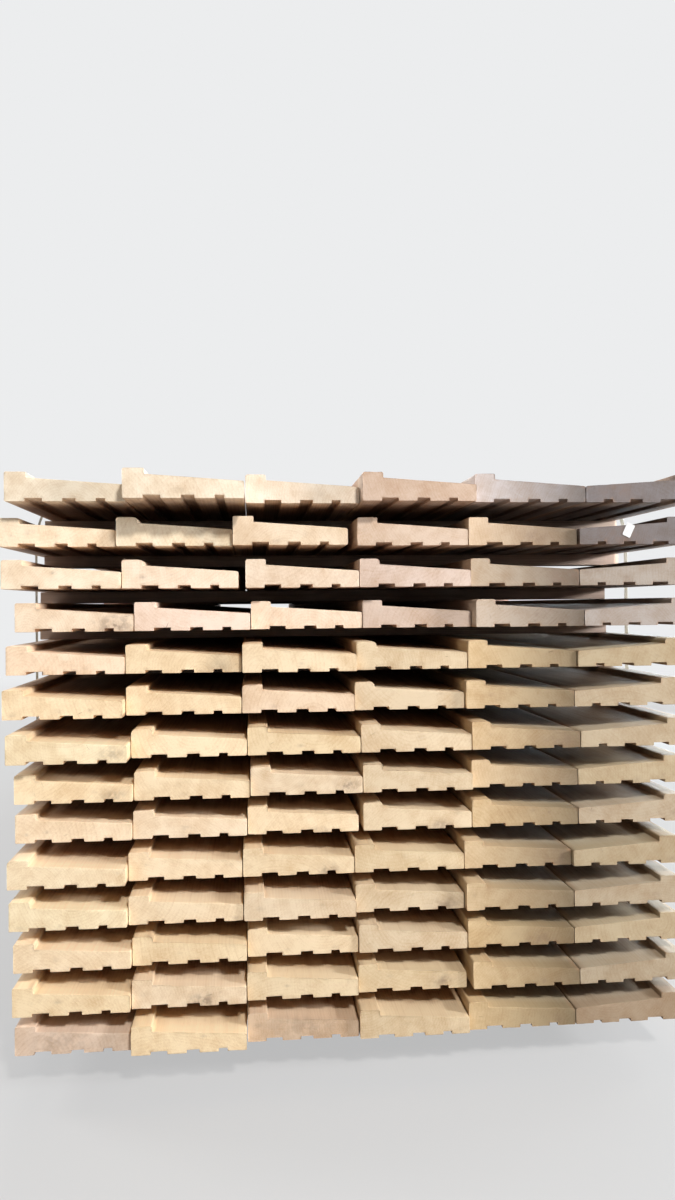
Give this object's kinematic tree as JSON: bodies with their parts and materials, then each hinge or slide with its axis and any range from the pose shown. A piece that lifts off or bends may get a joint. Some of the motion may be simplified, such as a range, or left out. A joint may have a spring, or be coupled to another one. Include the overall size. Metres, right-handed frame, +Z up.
{
  "type": "stickered stack of moulded lumber",
  "caption": "Strapped pack of grooved hardwood sill boards, laid in open layers with thin stickers between them, on timber bearers.",
  "frame": {"origin": "middle of the pack's footprint, on the floor under the bearers", "axes": "+X across the pack, +Y along the boards away from the end that the picture shows, +Z up"},
  "size_m": [1.1492, 3.115, 0.9849],
  "materials": {
    "board_wood": "planed hardwood, sawn ends",
    "sticker_wood": "sawn softwood",
    "bearer_wood": "rough sawn",
    "strap_plastic": "pale strapping",
    "seal_metal": "zinc-plated strip",
    "tag_plastic": "blank white tag"
  },
  "bodies": {
    "root": {"board_layer_01": "board_wood", "board_layer_02": "board_wood", "board_layer_03": "board_wood", "board_layer_04": "board_wood", "board_layer_05": "board_wood", "board_layer_06": "board_wood", "board_layer_07": "board_wood", "board_layer_08": "board_wood", "board_layer_09": "board_wood", "board_layer_10": "board_wood", "board_layer_11": "board_wood", "board_layer_12": "board_wood", "board_layer_13": "board_wood", "board_layer_14": "board_wood", "stickers_station_1": "sticker_wood", "stickers_station_2": "sticker_wood", "stickers_station_3": "sticker_wood", "stickers_station_4": "sticker_wood", "bearer_1": "bearer_wood", "bearer_2": "bearer_wood", "bearer_3": "bearer_wood", "bearer_4": "bearer_wood", "strap_1": "strap_plastic", "strap_2": "strap_plastic", "strap_seal_1": "seal_metal", "strap_seal_2": "seal_metal", "end_tag": "tag_plastic"}
  },
  "joints": []
}
